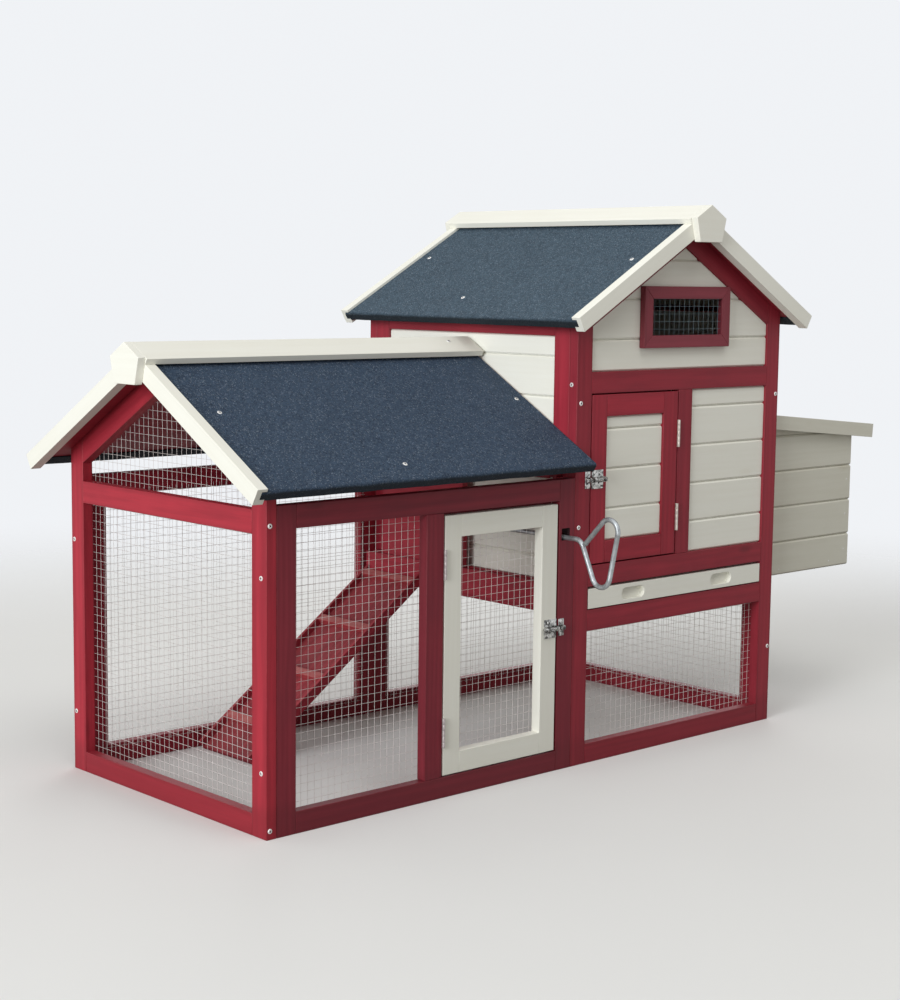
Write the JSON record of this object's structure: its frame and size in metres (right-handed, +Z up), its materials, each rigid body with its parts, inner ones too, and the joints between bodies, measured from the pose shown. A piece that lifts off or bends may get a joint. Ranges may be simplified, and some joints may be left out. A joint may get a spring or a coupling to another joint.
{
  "type": "chicken coop",
  "caption": "Wooden hen house with a felt gable roof, an attached wire mesh run under its own roof, a nest box with a hinged lid, doors, ramp and a pull-out tray.",
  "frame": {"origin": "on the ground under the middle of the overall box", "axes": "+X along the front from the run to the nest box, +Y from the front to the back, +Z up"},
  "size_m": [1.5388, 0.6876, 0.9282],
  "materials": {
    "red_paint": "satin red paint on softwood",
    "white_paint": "satin off-white paint on softwood",
    "bare_wood": "bare softwood",
    "felt": "mineral-faced bitumen roofing felt",
    "zinc": "galvanised"
  },
  "bodies": {
    "coop_body": {"run_end_frame": "red_paint", "run_end_mesh": "zinc", "run_front_frame": "red_paint", "run_front_mesh": "zinc", "run_back_frame": "red_paint", "run_back_mesh": "zinc", "run_roof_bearer": "red_paint", "run_roof_boards": "red_paint", "run_felt": "felt", "run_barge_boards": "white_paint", "run_ridge_cap": "white_paint", "run_ridge_plate": "white_paint", "run_hinge_leaves": "zinc", "run_latch_keeper": "zinc", "house_front_frame": "red_paint", "house_front_boards": "white_paint", "house_front_mesh": "zinc", "vent_frame": "red_paint", "vent_mesh": "zinc", "house_back_frame": "red_paint", "house_back_boards": "white_paint", "house_back_mesh": "zinc", "divider_frame": "red_paint", "divider_boards": "white_paint", "house_right_frame": "red_paint", "house_right_boards": "white_paint", "house_right_mesh": "zinc", "house_roof_boards": "red_paint", "house_felt": "felt", "house_barge_boards": "white_paint", "house_ridge_cap": "white_paint", "house_ridge_plates": "white_paint", "house_hinge_leaves": "zinc", "house_latch_keeper": "zinc", "tray_runners": "red_paint", "nest_sides": "white_paint", "nest_floor": "white_paint", "nest_divider": "white_paint", "nest_hinge_leaves": "zinc", "pop_door_guides": "red_paint", "ramp_deck": "red_paint", "ramp_cleats": "red_paint", "perch": "bare_wood"},
    "run_door_leaf": {"run_door_frame": "white_paint", "run_door_mesh": "zinc", "run_door_hinges": "zinc", "run_latch_plate": "zinc"},
    "run_bolt": {"run_latch_bolt": "zinc"},
    "house_door_leaf": {"house_door_frame": "red_paint", "house_door_panel": "white_paint", "house_door_hinges": "zinc", "house_latch_plate": "zinc"},
    "house_bolt": {"house_latch_bolt": "zinc"},
    "tray": {"tray_front": "white_paint", "tray_pan": "bare_wood"},
    "lid": {"nest_lid": "white_paint", "nest_lid_hinges": "zinc"},
    "pop_slide": {"pop_door": "red_paint", "pull_rod": "zinc"}
  },
  "joints": [
    {"name": "run_door_hinge", "type": "hinge", "parent": "coop_body", "child": "run_door_leaf", "pos_m": [-0.36622, -0.22865, 0.237], "axis": [0, 0, -1], "range_deg": [0, 120]},
    {"name": "run_bolt_slide", "type": "slide", "parent": "run_door_leaf", "child": "run_bolt", "axis": [1, 0, 0], "range_m": [0, 0.012]},
    {"name": "house_door_hinge", "type": "hinge", "parent": "coop_body", "child": "house_door_leaf", "pos_m": [0.17138, -0.22865, 0.475], "axis": [0, 0, 1], "range_deg": [0, 120]},
    {"name": "house_bolt_slide", "type": "slide", "parent": "house_door_leaf", "child": "house_bolt", "axis": [-1, 0, 0], "range_m": [0, 0.012]},
    {"name": "tray_slide", "type": "slide", "parent": "coop_body", "child": "tray", "axis": [0, -1, 0], "range_m": [0, 0.4]},
    {"name": "lid_hinge", "type": "hinge", "parent": "coop_body", "child": "lid", "pos_m": [0.44808, 0.03385, 0.564], "axis": [0, -1, 0], "range_deg": [0, 70]},
    {"name": "pop_door_slide", "type": "slide", "parent": "coop_body", "child": "pop_slide", "axis": [0, -1, 0], "range_m": [0, 0.16]}
  ]
}
